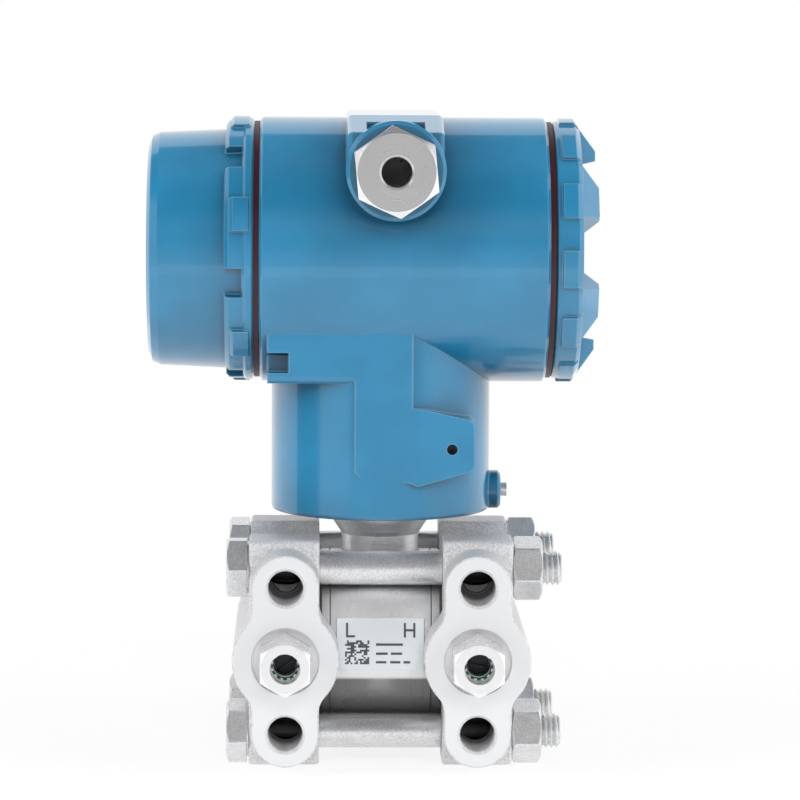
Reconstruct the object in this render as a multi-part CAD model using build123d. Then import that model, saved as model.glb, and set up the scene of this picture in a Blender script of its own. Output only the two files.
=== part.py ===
"""Differential pressure transmitter: sensor capsule between two process flanges, turning two-room housing.

Millimetres. +Z is up, -Y faces the reader and +X is the high-pressure side.
The origin is the centre of the front process bolts, on the plane where their threads start.
Inside the functions the sensor axis is X = 0, Y = 0; save() moves each piece to the shared origin.
"""
from build123d import *
import os
from math import cos, radians, sin, sqrt

# Clearances
thread_clearance = 0.3
running_clearance = 0.08
seat_gap = 0.05
fit_clearance = 0.1

# Process interface and flanges
port_spacing = 54.0
process_hole_pitch = 41.3
process_hole_radius = 4.95
process_hole_depth = 17.4
process_chamfer = 0.55
rear_hole_radius = 4.25
drill_step = 0.35
drill_depth = 18.5
drill_point = 0.6
flange_half_depth = 44.0
flange_gap = 35.0
lobe_cover = 1.1
block_half_depth = 29.0
block_half_height = 32.2
block_corner = 1.6
lobe_radius = 9.4
port_boss_radius = 15.0
boss_waist_fillet = 6.5
saddle_radius = 15.0
saddle_depth = 9.5
spotface_radius = 9.5
spotface_depth = 3.0
port_bore_radius = 5.8
port_bore_depth = 15.0
feed_radius = 3.0
chamber_radius = 16.0
chamber_depth = 2.0
seal_groove_radius = 19.2
seal_cord = 2.4

# Clamp bolts, M10
bolt_spacing_y = 42.0
bolt_spacing_z = 47.0
bolt_radius = 4.9
bolt_hole_radius = 5.4
bolt_flats = 16.0
bolt_head = 6.4
bolt_reach = 14.0
bolt_end_chamfer = 1.0
washer_face = 0.6
nut_height = 8.4
head_turns = {(-1, 1): 0.0, (-1, -1): 16.0, (1, 1): 22.0, (1, -1): 8.0}
nut_turns = {(-1, 1): 12.0, (-1, -1): 14.0, (1, 1): 3.0, (1, -1): 20.0}

# Sensor capsule and neck
capsule_bolt_gap = 0.6
capsule_edge = 0.8
weld_groove = 0.3
weld_offset = 14.5
neck_radius = 11.15
collar_start = 31.0
collar_top = 38.6
collar_radius = 16.2
head_bottom = 40.0
head_top = 62.0
head_radius = 23.9
head_groove_height = 46.0
neck_seal_cord = 2.0
diaphragm_radius = 15.0
diaphragm_recess = 0.8
diaphragm_sheet = 0.3
header_radius = 18.0
header_sheet = 1.6
header_pin_radius = 0.8
header_pin_length = 4.0

# Vent bodies and stems in the front ports, plugs in the rear ones
vent_flats = 14.0
vent_stand_out = 12.5
vent_bore_radius = 4.25
vent_step_radius = 4.0
vent_step_depth = 9.0
vent_inner_radius = 3.35
vent_inner_depth = 14.5
vent_drain_radius = 1.6
vent_root = 13.0
stem_radius = 3.0
stem_depth = 11.6
stem_length = 14.0
stem_slot_width = 0.8
stem_slot_depth = 0.7
seal_ring_depth = 5.6
seal_ring_height = 0.7
seal_ring_inner = 3.45
seal_windows = 12
seal_window_height = 0.36
seal_window_width = 1.05
packing_height = 1.6
plug_stand_out = 7.0

# Label foil on the capsule
label_left = -12.5
label_right = 12.3
label_low_angle = -11.5
label_high_angle = 21.2
label_foil = 0.15

# Housing
axis_height = 113.0
body_radius = 38.0
body_left = -34.8
body_right = 46.9
body_edge = 0.8
housing_wall = 5.4
mouth_radius = body_radius - housing_wall
partition_left = -11.0
partition_right = -7.0
skirt_radius = 31.5
skirt_bottom = 38.1
skirt_edge = 1.2
pad_face = 31.1
pad_root = 15.0
pad_top = 95.0
ledge_left = -32.4
ledge_bottom = 76.9
ledge_round = 2.0
column_left = -7.7
column_right = 8.6
column_bottom = 49.0
arm_right = 26.2
arm_corner = 2.0
arm_below_lock = 6.0
arm_above_lock = 8.0
arm_root_above_lock = 11.6
notch_right = -26.4
notch_low = 80.0
notch_high = 85.7
notch_depth = 6.0
lock_x = 19.8
lock_z = 58.5
lock_radius = 1.5
lock_recess = 2.0
ground_height = 43.6
ground_boss_radius = 5.5
ground_boss_end = 34.7
ground_screw_radius = 2.0
ground_screw_out = 1.9
ground_screw_in = 5.5
cavity_radius = 21.0
cavity_height = 9.0
passage_radius = 6.0
passage_length = 34.0
passage_x = -14.0
passage_tilt = -35.0

# Conduit entries
conduit_x = 3.35
conduit_drop = 13.4
conduit_rise = body_radius - conduit_drop
conduit_stand_out = 8.0
conduit_face = body_radius + conduit_stand_out
conduit_disc_radius = 13.95
conduit_disc_chamfer = 0.85
shoulder_stand_out = 4.0
conduit_shoulder = body_radius + shoulder_stand_out
tower_half_width = 13.55
tower_cap = 1.3
tower_top_rise = body_radius + tower_cap
tower_slope = 4.1
tower_front_rise = tower_top_rise - tower_slope
tower_slope_end = 22.0
tower_corner = 1.6
pocket_half_width = 8.2
pocket_depth = 4.7
pocket_floor_rise = tower_top_rise - pocket_depth
pocket_back = 30.0
conduit_thread_radius = 10.0
conduit_thread_length = 15.0
gland_flats = 22.3
gland_height = 8.0
gland_bore_radius = 4.25
gland_bore_chamfer = 0.55
gland_turn = 5.4
blank_height = 6.0

# Covers
cover_seal_width = 1.6
cover_seal_inset = 1.2
cover_thread_pitch = 2.0
cover_turns = 5
cover_wall = 2.4
rim_inset = 0.4
rim_edge = 0.7
display_length = 30.1
display_root_inset = 3.4
display_taper = 1.1
display_end_round = 3.2
display_ring = 2.4
display_face_wall = 4.0
display_lug_count = 6
display_lug_arc = 47.0
display_lug_length = 8.0
display_lug_height = 3.6
display_pad_arc = 15.0
display_pad_height = 1.2
display_lug_phase = 18.5
window_inset = 8.6
window_opening = mouth_radius - window_inset
window_glass = 5.0
window_gasket = 1.0
retainer_height = 2.0
retainer_overlap = 2.2
terminal_rim = 7.7
terminal_inset = 1.0
terminal_pad_height = 0.9
terminal_pad_count = 12
terminal_pad_arc = 16.0
terminal_pad_phase = -4.7
terminal_pad_inset = 1.5
terminal_face_wall = 4.0
ear_count = 6
ear_phase = 2.0
ear_reach = 4.9
ear_foot_inset = 2.6
ear_foot_outer = body_radius - ear_foot_inset
ear_foot_depth = 11.0
ear_foot_inner = ear_foot_outer - ear_foot_depth
ear_taper = 7.0
ear_tip_outer = ear_foot_outer - ear_taper
ear_tip_depth = 2.8
ear_tip_inner = ear_tip_outer - ear_tip_depth
ear_half_width_foot = 8.6
ear_half_width_tip = 4.6

# Electronics behind the window
board_gap = 4.6
board_radius = mouth_radius - board_gap
board_sheet = 1.6
board_x = -20.4
board_parts = [(-9, 4, 10, 8, 2.0), (8, 2, 8, 12, 3.2), (-2, -12, 12, 5, 4.5), (14, -10, 5, 5, 2.4)]
board_post_radius = 3.0
board_post_inset = 5.0
board_post_circle = board_radius - board_post_inset
module_inset = 1.5
module_radius = board_radius - module_inset
module_thickness = 8.0
module_gap = 0.5
spacer_flats = 5.0
panel_width = 36.0
panel_height = 21.0
panel_thickness = 1.1
panel_rise = 2.0
screw_head_radius = 2.5
screw_head_height = 1.2

# Terminal room
block_width = 44.0
block_height = 26.0
block_front = 30.0
block_thickness = 12.0
block_leg_radius = 4.5
block_leg_offset = 17.0
terminal_pitch = 12.0
terminal_count = 3
terminal_screw_radius = 3.4
terminal_screw_height = 2.4
terminal_washer = 8.0
barrier_height = 4.0
barrier_width = 1.6
barrier_half_length = 9.0
slot_depth = 0.8
slot_half_width = 0.5
earth_y = -9.0
earth_drop = 22.0
earth_head_radius = 4.2
earth_head_height = 2.8


def rod(radius, start, end, y=0.0, z=0.0):
    """Cylinder along X."""
    return Pos((start + end) / 2, y, z) * Rot(0, 90, 0) * Cylinder(radius, end - start)


def spindle(radius, start, end, x=0.0, z=0.0):
    """Cylinder along Y."""
    return Pos(x, (start + end) / 2, z) * Rot(90, 0, 0) * Cylinder(radius, end - start)


def post(radius, bottom, top, x=0.0, y=0.0):
    """Cylinder along Z."""
    return Pos(x, y, (bottom + top) / 2) * Cylinder(radius, top - bottom)


def block(x_range, y_range, z_range):
    """Box between three pairs of limits."""
    middle = [(low + high) / 2 for low, high in (x_range, y_range, z_range)]
    sides = [high - low for low, high in (x_range, y_range, z_range)]
    return Pos(*middle) * Box(*sides)


def turned_x(points, z=0.0, arc=360.0):
    """Solid of (x, radius) points turned about the X axis at height z."""
    face = make_face(Polyline([(x, 0, r) for x, r in points], close=True))
    return Pos(0, 0, z) * revolve(face, Axis.X, arc)


def turned_z(points):
    """Solid of (radius, z) points turned about the Z axis."""
    face = make_face(Polyline([(r, 0, z) for r, z in points], close=True))
    return revolve(face, Axis.Z, 360)


def ring_x(outer, inner, start, end, z=0.0):
    """Plain ring along X."""
    return turned_x([(start, inner), (end, inner), (end, outer), (start, outer)], z)


def sector(points, arc, angle):
    """Part of a ring about the X axis; angle 0 faces the reader and 90 is up."""
    return Rot(90 - angle - arc / 2, 0, 0) * turned_x(points, 0.0, arc)


def hex_bar(flats, length, cut=1.0):
    """Hexagon bar along Z from 0 to length, its far corners turned off by a 30 degree chamfer."""
    bar = extrude(RegularPolygon(flats / 2, 6, major_radius=False), length)
    corner = flats / sqrt(3)
    drop = (corner - flats / 2 * 0.97) * 0.577 * cut
    outline = [(0, 0), (corner, 0), (corner, length - drop), (flats / 2 * 0.97, length), (0, length)]
    return bar & turned_z(outline)


def group(pieces):
    """Several separate solids kept together as one node."""
    return Compound([solid for piece in pieces for solid in piece.solids()])


def side_words():
    """The two flange sides: name and direction along X."""
    return (("low_side", -1), ("high_side", 1))


def bolt_places():
    """The four clamp bolt axes as signs and (y, z)."""
    for side_y in (-1, 1):
        for side_z in (-1, 1):
            yield (side_y, side_z), (side_y * bolt_spacing_y / 2, side_z * bolt_spacing_z / 2)


def flange_outer():
    """X of a flange's outer face, which covers the process lobes."""
    return port_spacing / 2 + lobe_radius + lobe_cover


def capsule_radius():
    """Radius of the capsule: as large as the four clamp bolts leave room for."""
    return sqrt((bolt_spacing_y / 2)**2 + (bolt_spacing_z / 2)**2) - bolt_radius - capsule_bolt_gap


def boss_profile():
    """Dog-bone outline of the process face: two end lobes and a round port boss, with soft waists."""
    slot = SlotCenterToCenter(process_hole_pitch, 2 * lobe_radius, rotation=90)
    outline = slot + Circle(port_boss_radius)
    meets = sqrt(port_boss_radius**2 - lobe_radius**2)
    waists = [v for v in outline.vertices() if abs(abs(v.Y) - meets) < 0.05]
    return fillet(waists, boss_waist_fillet)


def process_flange():
    """High-side flange: cast slab with four bolt blocks, and bosses to the front and rear faces."""
    inner = flange_gap / 2
    outer = flange_outer()
    port_x = port_spacing / 2
    depth_span = (-block_half_depth, block_half_depth)
    height_span = (-block_half_height, block_half_height)
    slab = block((inner, outer), depth_span, height_span)
    slab = fillet(slab.edges().filter_by(Axis.X), block_corner)
    rims = slab.edges().filter_by(Axis.Z) + slab.edges().filter_by(Axis.Y)
    slab = fillet(rims, block_corner * 0.6)
    profile = Plane(origin=(port_x, flange_half_depth, 0), x_dir=(1, 0, 0), z_dir=(0, -1, 0)) * boss_profile()
    bosses = extrude(profile, 2 * flange_half_depth)
    faces = bosses.faces().sort_by(Axis.Y)
    bosses = chamfer(faces[0].edges() + faces[-1].edges(), 0.4)
    reach = port_boss_radius + 1
    bosses -= block((port_x - reach, inner), depth_span, (-reach, reach))
    body = slab + bosses
    for side in (-1, 1):
        height = side * (block_half_height + saddle_radius - saddle_depth)
        body -= rod(saddle_radius, inner - 1, outer + 1, 0, height)
    body -= rod(chamber_radius, inner - 1, inner + chamber_depth)
    half_cord = seal_cord / 2
    groove = (seal_groove_radius + half_cord, seal_groove_radius - half_cord)
    body -= ring_x(*groove, inner - 1, inner + seal_cord * 0.9)
    body -= rod(feed_radius, inner, port_x)
    for _, (y, z) in bolt_places():
        body -= rod(bolt_hole_radius, inner - 1, outer + 6, y, z)
    for side in (-1, 1):
        body -= port_holes(side, port_x)
    return body


def port_holes(side, port_x):
    """Cuts of one process face: spot face, port bore, feed drilling and the two tapped holes."""
    face = side * flange_half_depth
    floor = side * (flange_half_depth - spotface_depth)
    bore_end = side * (flange_half_depth - spotface_depth - port_bore_depth)
    cuts = spindle(spotface_radius, *sorted((face + side, floor)), port_x)
    cuts += spindle(port_bore_radius, *sorted((floor, bore_end)), port_x)
    cuts += spindle(feed_radius, *sorted((bore_end, 0)), port_x)
    for level in (-1, 1):
        cuts += tapped_hole(side, port_x, level * process_hole_pitch / 2)
    return cuts


def tapped_hole(side, port_x, z):
    """Cut of one tapped hole: chamfered mouth, thread core, and a drill end that opens into the bolt hole."""
    core = process_hole_radius if side < 0 else rear_hole_radius
    drill = core - drill_step
    face = side * flange_half_depth
    core_end = side * (flange_half_depth - process_hole_depth)
    drill_end = side * (flange_half_depth - drill_depth)
    cut = spindle(core, *sorted((face + side, core_end)), port_x, z)
    cut += spindle(drill, *sorted((core_end, drill_end)), port_x, z)
    outward = Rot(90 if side < 0 else -90, 0, 0)
    inward = Rot(-90 if side < 0 else 90, 0, 0)
    tip = drill * drill_point
    cut += Pos(port_x, drill_end - side * tip / 2, z) * inward * Cone(drill, 0, tip)
    mouth = Cone(core, core + process_chamfer, process_chamfer)
    return cut + Pos(port_x, face - side * process_chamfer / 2, z) * outward * mouth


def sensor_capsule():
    """Turned capsule with its neck, collar and threaded head, welded into one piece."""
    half = flange_gap / 2
    edge = capsule_edge
    groove = weld_groove
    outer = capsule_radius()
    recess = diaphragm_radius + 0.4
    points = [(-half + diaphragm_recess, 0), (half - diaphragm_recess, 0), (half - diaphragm_recess, recess)]
    points += [(half, recess), (half, outer - edge), (half - edge, outer)]
    points += [(weld_offset + groove, outer), (weld_offset, outer - groove), (weld_offset - groove, outer)]
    points += [(-weld_offset + groove, outer), (-weld_offset, outer - groove), (-weld_offset - groove, outer)]
    points += [(-half + edge, outer), (-half, outer - edge), (-half, recess)]
    points += [(-half + diaphragm_recess, recess)]
    cord = neck_seal_cord
    low = head_groove_height - cord / 2
    high = head_groove_height + cord / 2
    neck = [(0, 0), (neck_radius, 0), (neck_radius, collar_start), (collar_radius, collar_top)]
    neck += [(collar_radius, head_bottom), (head_radius, head_bottom), (head_radius, low)]
    neck += [(head_radius - cord * 0.8, low), (head_radius - cord * 0.8, high), (head_radius, high)]
    neck += [(head_radius, head_top - 1), (head_radius - 1, head_top), (0, head_top)]
    return turned_x(points) + turned_z(neck)


def diaphragm(side):
    """Thin isolating diaphragm with four rolled waves, seated in the capsule's end recess."""
    seat = flange_gap / 2 - diaphragm_recess
    waves = 4
    pitch = diaphragm_radius / (waves + 1)
    lift = diaphragm_recess - diaphragm_sheet - 0.1
    near = [(seat, diaphragm_radius)]
    for index in range(waves):
        crest = diaphragm_radius - pitch * (index + 0.5)
        near += [(seat, crest + pitch * 0.3), (seat + lift * 0.6, crest), (seat, crest - pitch * 0.3)]
    near += [(seat, 0)]
    far = [(x + diaphragm_sheet, r) for x, r in reversed(near)]
    disc = turned_x(near + far)
    return disc if side > 0 else mirror(disc, Plane.YZ)


def flange_seal(side):
    """Square-section seal ring pressed between the capsule's end and its flange groove."""
    half_cord = seal_cord / 2 - 0.2
    start = flange_gap / 2
    end = start + seal_cord * 0.9 - 0.1
    ring = ring_x(seal_groove_radius + half_cord, seal_groove_radius - half_cord, start, end)
    return ring if side > 0 else mirror(ring, Plane.YZ)


def clamp_bolts():
    """Four M10 hexagon bolts, heads on the low side."""
    bolts = []
    seat = -flange_outer()
    end = flange_outer() + bolt_reach
    for signs, (y, z) in bolt_places():
        head = Pos(seat - washer_face, y, z) * Rot(0, -90, 0) * Rot(0, 0, head_turns[signs])
        bolt = head * hex_bar(bolt_flats, bolt_head - washer_face)
        bolt += rod(bolt_flats / 2 * 0.93, seat - washer_face, seat, y, z)
        tip = bolt_radius - bolt_end_chamfer
        shank = [(seat, 0), (end, 0), (end, tip), (end - bolt_end_chamfer, bolt_radius), (seat, bolt_radius)]
        bolt += Pos(0, y, 0) * turned_x(shank, z)
        bolts.append(bolt)
    return group(bolts)


def clamp_nuts():
    """Four M10 nuts on the high side, each with a washer face."""
    nuts = []
    seat = flange_outer()
    for signs, (y, z) in bolt_places():
        place = Pos(seat + washer_face, y, z) * Rot(0, 90, 0) * Rot(0, 0, nut_turns[signs])
        nut = place * hex_bar(bolt_flats, nut_height - washer_face)
        nut += rod(bolt_flats / 2 * 0.93, seat, seat + washer_face, y, z)
        nut -= rod(bolt_radius, seat - 1, seat + nut_height + 1, y, z)
        nuts.append(nut)
    return group(nuts)


def port_floor():
    """Depth of the spot face floor, where port fittings seat."""
    return flange_half_depth - spotface_depth


def vent_front():
    """Y of the vent body's front face, as a distance from the sensor axis."""
    return flange_half_depth + vent_stand_out


def vent_body(side):
    """Hexagon vent body with a counterbored mouth, screwed into the front port."""
    length = vent_stand_out + spotface_depth
    bar = Pos(0, -port_floor(), 0) * Rot(90, 0, 0) * Rot(0, 0, 30) * hex_bar(vent_flats, length)
    root = port_bore_radius - running_clearance
    bar += spindle(root, -port_floor(), -port_floor() + vent_root)
    front = -vent_front()
    bar -= spindle(vent_bore_radius, front - 1, front + seal_ring_depth)
    bar -= spindle(vent_step_radius, front, front + vent_step_depth)
    bar -= spindle(vent_inner_radius, front, front + vent_inner_depth)
    bar -= spindle(stem_radius + fit_clearance, front, front + stem_depth + stem_length)
    bar -= spindle(vent_drain_radius, front, 0)
    return Pos(side * port_spacing / 2, 0, 0) * bar


def vent_stem(side):
    """Dark vent stem: a slotted plug that screws against its seat deep in the body."""
    front = -vent_front() + stem_depth
    stem = spindle(stem_radius, front, front + stem_length - 2)
    tip = Cone(stem_radius, vent_drain_radius, 1.8)
    stem += Pos(0, front + stem_length - 2 + 0.9, 0) * Rot(-90, 0, 0) * tip
    slot = Box(stem_slot_width, 2 * stem_slot_depth, 2 * stem_radius)
    stem -= Pos(0, front, 0) * Rot(0, 52 if side < 0 else 100, 0) * slot
    return Pos(side * port_spacing / 2, 0, 0) * stem


def vent_seal(side):
    """Green seal ring with a row of windows round its face."""
    front = -vent_front() + seal_ring_depth
    outer = vent_step_radius - seat_gap
    ring = spindle(outer, front, front + seal_ring_height)
    ring -= spindle(seal_ring_inner, front - 1, front + seal_ring_height + 1)
    circle = (outer + seal_ring_inner) / 2 + 0.03
    window = Box(seal_window_width, 2 * seal_ring_height, seal_window_height)
    for index in range(seal_windows):
        turn = Rot(0, index * 360 / seal_windows + 15, 0)
        ring -= Pos(0, front, 0) * turn * Pos(0, seal_ring_height / 2, -circle) * window
    return Pos(side * port_spacing / 2, 0, 0) * ring


def vent_packing(side):
    """White packing ring behind the seal, seen through its windows."""
    start = -vent_front() + seal_ring_depth + seal_ring_height
    ring = spindle(vent_step_radius - seat_gap, start, start + packing_height)
    ring -= spindle(seal_ring_inner + seat_gap, start - 1, start + packing_height + 1)
    return Pos(side * port_spacing / 2, 0, 0) * ring


def rear_plug(side):
    """Hexagon pipe plug that closes the rear port."""
    length = plug_stand_out + spotface_depth
    plug = Pos(0, port_floor(), 0) * Rot(-90, 0, 0) * hex_bar(vent_flats, length)
    plug += spindle(port_bore_radius - running_clearance, port_floor() - vent_root, port_floor())
    return Pos(side * port_spacing / 2, 0, 0) * plug


def capsule_label():
    """Foil label wrapped on the front of the capsule."""
    under = capsule_radius()
    over = under + label_foil
    foil = [(label_left, under), (label_right, under), (label_right, over), (label_left, over)]
    arc = label_high_angle - label_low_angle
    return sector(foil, arc, (label_high_angle + label_low_angle) / 2)


def neck_seal():
    """O-ring in the groove of the capsule head, between it and the housing."""
    cord = neck_seal_cord
    low = head_groove_height - cord / 2 + 0.1
    high = head_groove_height + cord / 2 - 0.1
    inner = head_radius - cord * 0.8
    outer = head_radius + 0.02
    return turned_z([(inner, low), (outer, low), (outer, high), (inner, high)])


def header_board():
    """Round header board on the capsule head, with its row of pins."""
    board = post(header_radius, head_top, head_top + header_sheet)
    pin_top = head_top + header_sheet + header_pin_length
    for index in range(5):
        board += post(header_pin_radius, head_top + header_sheet, pin_top, (index - 2) * 4.0, 8.0)
    return board


def pad_outline():
    """Front outline of the flat pad: ledge to the left, column down the middle, arm to the right."""
    points = [(ledge_left, pad_top), (ledge_left, ledge_bottom), (column_left, ledge_bottom)]
    points += [(column_left, column_bottom + 3), (column_left + 3, column_bottom)]
    points += [(column_right - 1, column_bottom), (column_right + 1.7, column_bottom - 1.1)]
    points += [(arm_right, lock_z - arm_below_lock), (arm_right, lock_z + arm_above_lock)]
    root = lock_z + arm_root_above_lock
    points += [(column_right + 4.2, root - 0.5), (column_right, root), (column_right, pad_top)]
    outline = make_face(Polyline([(x, z) for x, z in points], close=True))
    corners = [v for v in outline.vertices() if v.X > arm_right - 0.1]
    return fillet(corners, arm_corner)


def front_pad():
    """Flat-faced pad on the front of the skirt, cast in one with it."""
    face = Plane(origin=(0, -pad_root, 0), x_dir=(1, 0, 0), z_dir=(0, -1, 0)) * pad_outline()
    pad = extrude(face, pad_face - pad_root)
    front = pad.faces().sort_by(Axis.Y)[0]
    low_edge = [e for e in front.edges() if abs(e.center().Z - ledge_bottom) < 0.1]
    pad = fillet(low_edge, ledge_round)
    notch_back = -pad_face + notch_depth
    return pad - block((ledge_left - 1, notch_right), (-pad_face - 1, notch_back), (notch_low, notch_high))


def conduit_tower():
    """Front conduit tower: square shoulders with a sloping roof, a pocket in it, and a round boss."""
    level = axis_height + conduit_rise
    roof = [(0, level), (-conduit_shoulder, level), (-conduit_shoulder, axis_height + tower_front_rise)]
    roof += [(-tower_slope_end, axis_height + tower_top_rise), (0, axis_height + tower_top_rise)]
    side = make_face(Polyline([(conduit_x - tower_half_width, y, z) for y, z in roof], close=True))
    tower = extrude(side, 2 * tower_half_width, dir=(1, 0, 0))
    top_edges = [e for e in tower.edges() if e.center().Z > level + 5 and abs(e.center().X - conduit_x) > 10]
    tower = fillet(top_edges, tower_corner)
    pocket_floor = axis_height + pocket_floor_rise
    span = (conduit_x - pocket_half_width, conduit_x + pocket_half_width)
    pocket_top = axis_height + tower_top_rise + 1
    pocket = block(span, (-conduit_shoulder - 1, -pocket_back), (pocket_floor, pocket_top))
    tower -= pocket
    tower += spindle(tower_half_width, -conduit_shoulder, 0, conduit_x, level)
    disc = spindle(conduit_disc_radius, -conduit_face, -conduit_shoulder + 2, conduit_x, level)
    front = disc.faces().sort_by(Axis.Y)[0]
    return tower + chamfer(front.edges(), conduit_disc_chamfer)


def housing_casting():
    """Two-room cast housing: horizontal body, turned-down skirt, pads, conduit towers and earth boss."""
    body = rod(body_radius, body_left, body_right, 0, axis_height)
    body = chamfer(body.edges(), body_edge)
    skirt = post(skirt_radius, skirt_bottom, axis_height)
    skirt = fillet(skirt.edges().sort_by(Axis.Z)[0], skirt_edge)
    casting = body + skirt
    casting += front_pad()
    tower = conduit_tower()
    casting += tower + mirror(tower, Plane.XZ)
    boss = rod(ground_boss_radius, 0, ground_boss_end, 0, ground_height)
    casting += chamfer(boss.faces().sort_by(Axis.X)[-1].edges(), 0.8)
    casting -= rod(mouth_radius, body_left - 1, partition_left, 0, axis_height)
    casting -= rod(mouth_radius, partition_right, body_right + 1, 0, axis_height)
    head_bore = head_radius + running_clearance
    casting -= post(head_bore, skirt_bottom - 1, head_top + 0.3)
    casting -= post(cavity_radius, head_top, head_top + cavity_height)
    passage = Pos(passage_x, 0, head_top - passage_x) * Rot(0, passage_tilt, 0)
    casting -= passage * Cylinder(passage_radius, passage_length)
    level = axis_height + conduit_rise
    casting -= spindle(conduit_thread_radius, -conduit_face - 1, conduit_face + 1, conduit_x, level)
    casting -= spindle(lock_radius, -pad_face - 1, 0, lock_x, lock_z)
    screw_start = ground_boss_end - ground_screw_in
    casting -= rod(ground_screw_radius, screw_start, ground_boss_end + 1, 0, ground_height)
    for y, z in post_places():
        casting += rod(board_post_radius, board_x, partition_left, y, z)
    return casting


def housing_lock_screw():
    """Set screw that locks the housing to the capsule head."""
    tip = -sqrt(head_radius**2 - (lock_x - lock_radius)**2) - thread_clearance
    screw = spindle(lock_radius, -pad_face + lock_recess, tip, lock_x, lock_z)
    socket = Pos(lock_x, -pad_face + lock_recess - 1, lock_z) * Rot(-90, 0, 0)
    return screw - socket * extrude(RegularPolygon(0.75, 6, major_radius=False), 2.4)


def ground_screw():
    """Outside earth screw in the skirt's boss."""
    start = ground_boss_end - ground_screw_in
    return rod(ground_screw_radius, start, ground_boss_end + ground_screw_out, 0, ground_height)


def cable_gland():
    """Hexagon cable entry in the front conduit boss."""
    level = axis_height + conduit_rise
    place = Pos(conduit_x, -conduit_face, level) * Rot(90, 0, 0) * Rot(0, 0, 30 + gland_turn)
    gland = place * hex_bar(gland_flats, gland_height)
    thread_end = -conduit_face + conduit_thread_length
    gland += spindle(conduit_thread_radius, -conduit_face, thread_end, conduit_x, level)
    face = -conduit_face - gland_height
    gland -= spindle(gland_bore_radius, face - 1, 0, conduit_x, level)
    mouth = Cone(gland_bore_radius, gland_bore_radius + gland_bore_chamfer, gland_bore_chamfer)
    return gland - Pos(conduit_x, face + gland_bore_chamfer / 2, level) * Rot(90, 0, 0) * mouth


def conduit_blank():
    """Hexagon blanking plug in the rear conduit boss."""
    level = axis_height + conduit_rise
    plug = Pos(conduit_x, conduit_face, level) * Rot(-90, 0, 0) * hex_bar(gland_flats, blank_height)
    thread_start = conduit_face - conduit_thread_length
    return plug + spindle(conduit_thread_radius, thread_start, conduit_face, conduit_x, level)


def cover_thread_radius():
    """Outer radius of a cover's threaded sleeve."""
    return mouth_radius - thread_clearance


def cover_thread_length():
    """Length of a cover's threaded sleeve: its turns out of the mouth times the pitch."""
    return cover_turns * cover_thread_pitch


def cover_bore():
    """Inner radius of both covers."""
    return cover_thread_radius() - cover_wall


def display_rim():
    """X of the display cover's face against its seal."""
    return body_left - cover_seal_width


def display_end():
    """X of the display cover's outer end."""
    return display_rim() - display_length


def display_cover():
    """Long window cover: threaded sleeve, ring with six castellations, tapered barrel, round-edged end."""
    rim = display_rim()
    end = display_end()
    bore = cover_bore()
    sleeve = cover_thread_radius()
    ring = body_radius - rim_inset
    ring_end = rim - display_ring - rim_edge
    barrel = body_radius - display_root_inset
    root = barrel - display_taper
    step = display_end_round * 0.3
    points = [(rim + cover_thread_length(), bore), (rim + cover_thread_length(), sleeve), (rim, sleeve)]
    points += [(rim, ring - rim_edge), (rim - rim_edge, ring), (rim - display_ring, ring)]
    points += [(ring_end, ring - rim_edge), (ring_end, barrel)]
    points += [(end + display_end_round, root), (end + step, root - step)]
    points += [(end, root - display_end_round), (end, window_opening)]
    points += [(end + display_face_wall, window_opening), (end + display_face_wall, bore)]
    cover = turned_x(points)
    start = rim - display_lug_length
    lug_top = root + display_lug_height
    lug = [(rim - 1, root), (rim - 1, lug_top), (start + 1, lug_top), (start, lug_top - 1), (start, root)]
    pad_top = lug_top + display_pad_height
    pad = [(rim - 1, root), (rim - 1, pad_top - 0.5), (rim - 1.5, pad_top)]
    pad += [(start + 2.2, pad_top), (start + 1.4, pad_top - 0.8), (start + 1.4, root)]
    for index in range(display_lug_count):
        angle = display_lug_phase + index * 360 / display_lug_count
        cover += sector(lug, display_lug_arc, angle)
        cover += sector(pad, display_pad_arc, angle)
    return Pos(0, 0, axis_height) * cover


def glass_seat():
    """X of the inner face of the display cover's end wall."""
    return display_end() + display_face_wall


def display_window():
    """Toughened glass disc behind the cover's opening, on its gasket."""
    start = glass_seat() + window_gasket
    return rod(cover_bore() - fit_clearance, start, start + window_glass, 0, axis_height)


def window_gasket_ring():
    """Flat gasket between the glass and the cover."""
    start = glass_seat()
    outer = cover_bore() - fit_clearance
    return ring_x(outer, window_opening + 0.4, start, start + window_gasket, axis_height)


def window_retainer():
    """Threaded ring that holds the glass in the cover."""
    start = glass_seat() + window_gasket + window_glass
    inner = window_opening + retainer_overlap
    return ring_x(cover_bore() - seat_gap, inner, start, start + retainer_height, axis_height)


def terminal_rim_start():
    """X of the terminal cover's face against its seal."""
    return body_right + cover_seal_width


def terminal_end():
    """X of the terminal cover's end face, without its ears."""
    return terminal_rim_start() + terminal_rim


def ear():
    """One tightening ear: a wedge that rises from the rim to a flat tip, tapered to both sides."""
    foot = terminal_end() - 0.5
    tip = terminal_end() + ear_reach
    profile = [(foot, ear_foot_inner), (tip, ear_tip_inner), (tip, ear_tip_outer), (foot, ear_foot_outer)]
    blank = make_face(Polyline([(x, -ear_half_width_foot, r) for x, r in profile], close=True))
    blank = extrude(blank, 2 * ear_half_width_foot, dir=(0, 1, 0))
    flanks = [(foot, -ear_half_width_foot), (tip, -ear_half_width_tip), (tip, ear_half_width_tip)]
    flanks += [(foot, ear_half_width_foot)]
    plan = make_face(Polyline([(x, y, 0) for x, y in flanks], close=True))
    return blank & extrude(plan, 2 * ear_foot_outer, dir=(0, 0, 1))


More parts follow.
